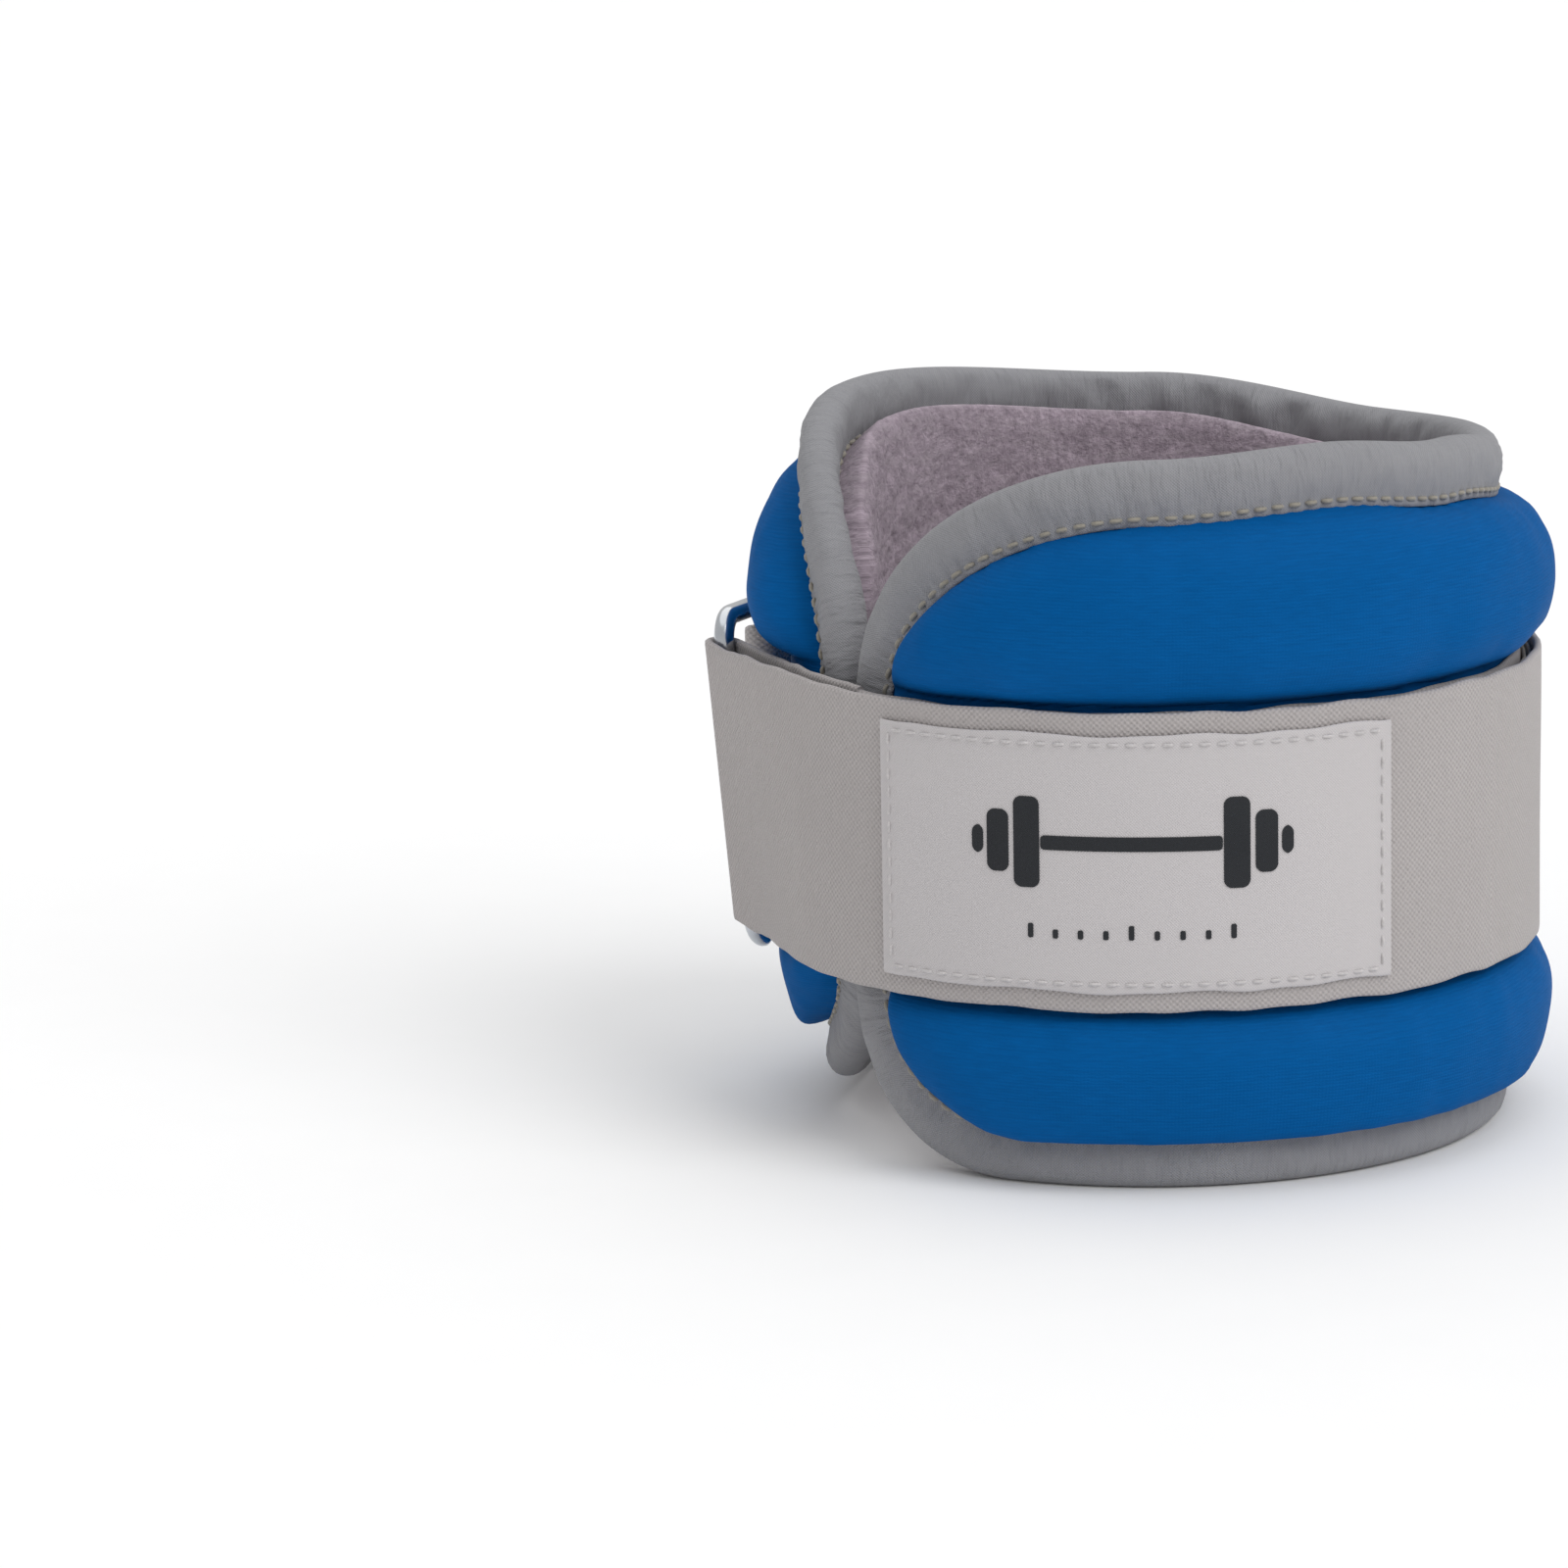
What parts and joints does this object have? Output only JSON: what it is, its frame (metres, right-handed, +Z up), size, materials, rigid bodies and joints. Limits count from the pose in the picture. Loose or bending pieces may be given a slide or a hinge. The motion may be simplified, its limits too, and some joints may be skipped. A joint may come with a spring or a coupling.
{
  "type": "ankle cuff weight",
  "caption": "Padded wrap-around ankle weight: a two-flap cuff with weighted pouches, closed by a hook-and-loop strap through a wire ring.",
  "frame": {"origin": "on the surface the cuff stands on, under the middle of its bounding box", "axes": "+Z up along the leg, -Y towards the label, +X to the label's right"},
  "size_m": [0.1448, 0.138, 0.1245],
  "materials": {
    "neoprene_cover": "smooth blue knit-faced neoprene",
    "fleece_lining": "mauve-grey terry fleece",
    "foam": "open-cell foam",
    "binding_tape": "grey folded binding tape, lock-stitched",
    "fill_pouch": "sewn bag of loose iron shot",
    "strap_webbing": "light grey brushed webbing",
    "hook_and_loop": "hook-and-loop tape",
    "woven_label": null,
    "chrome_wire": "bright plated steel wire"
  },
  "bodies": {
    "front_half": {"cover_front": "neoprene_cover", "lining_front": "fleece_lining", "foam_front": "foam", "binding_front": "binding_tape", "fill_pouch_1": "fill_pouch", "fill_pouch_2": "fill_pouch", "fill_pouch_3": "fill_pouch", "fill_pouch_4": "fill_pouch", "strap_base": "strap_webbing", "loop_tape": "hook_and_loop", "strap_run": "strap_webbing"},
    "back_half": {"cover_back": "neoprene_cover", "lining_back": "fleece_lining", "foam_back": "foam", "binding_back": "binding_tape", "fill_pouch_5": "fill_pouch", "fill_pouch_6": "fill_pouch", "fill_pouch_7": "fill_pouch", "fill_pouch_8": "fill_pouch", "ring_tab": "strap_webbing"},
    "ring": {"ring": "chrome_wire", "strap_fold": "strap_webbing"},
    "strap": {"strap_outer": "strap_webbing", "label": "woven_label"},
    "tail": {"strap_tail": "strap_webbing", "hook_tape": "hook_and_loop"}
  },
  "joints": [
    {"name": "cuff_open", "type": "hinge", "parent": "front_half", "child": "back_half", "pos_m": [0.06172, 0.03772, 0.0565], "axis": [0, 0, -1], "range_deg": [0, 45], "deforming": ["strap_run"]},
    {"name": "ring_pivot", "type": "hinge", "parent": "back_half", "child": "ring", "pos_m": [-0.06449, 0.02211, 0.0565], "axis": [0, 0, -1], "range_deg": [0, 13.5]},
    {"name": "strap_swing", "type": "hinge", "parent": "ring", "child": "strap", "pos_m": [-0.0691, 0.00379, 0.0565], "axis": [0, 0, -1], "range_deg": [0, 135], "deforming": ["strap_fold"]},
    {"name": "tail_peel", "type": "hinge", "parent": "strap", "child": "tail", "pos_m": [0.06068, -0.03568, 0.0565], "axis": [0, 0, -1], "range_deg": [0, 112.5]}
  ],
  "couplings": [
    {"joint": "ring_pivot", "follows": "cuff_open", "ratio": 0.3},
    {"joint": "strap_swing", "follows": "cuff_open", "ratio": 3},
    {"joint": "tail_peel", "follows": "cuff_open", "ratio": 2.5}
  ]
}
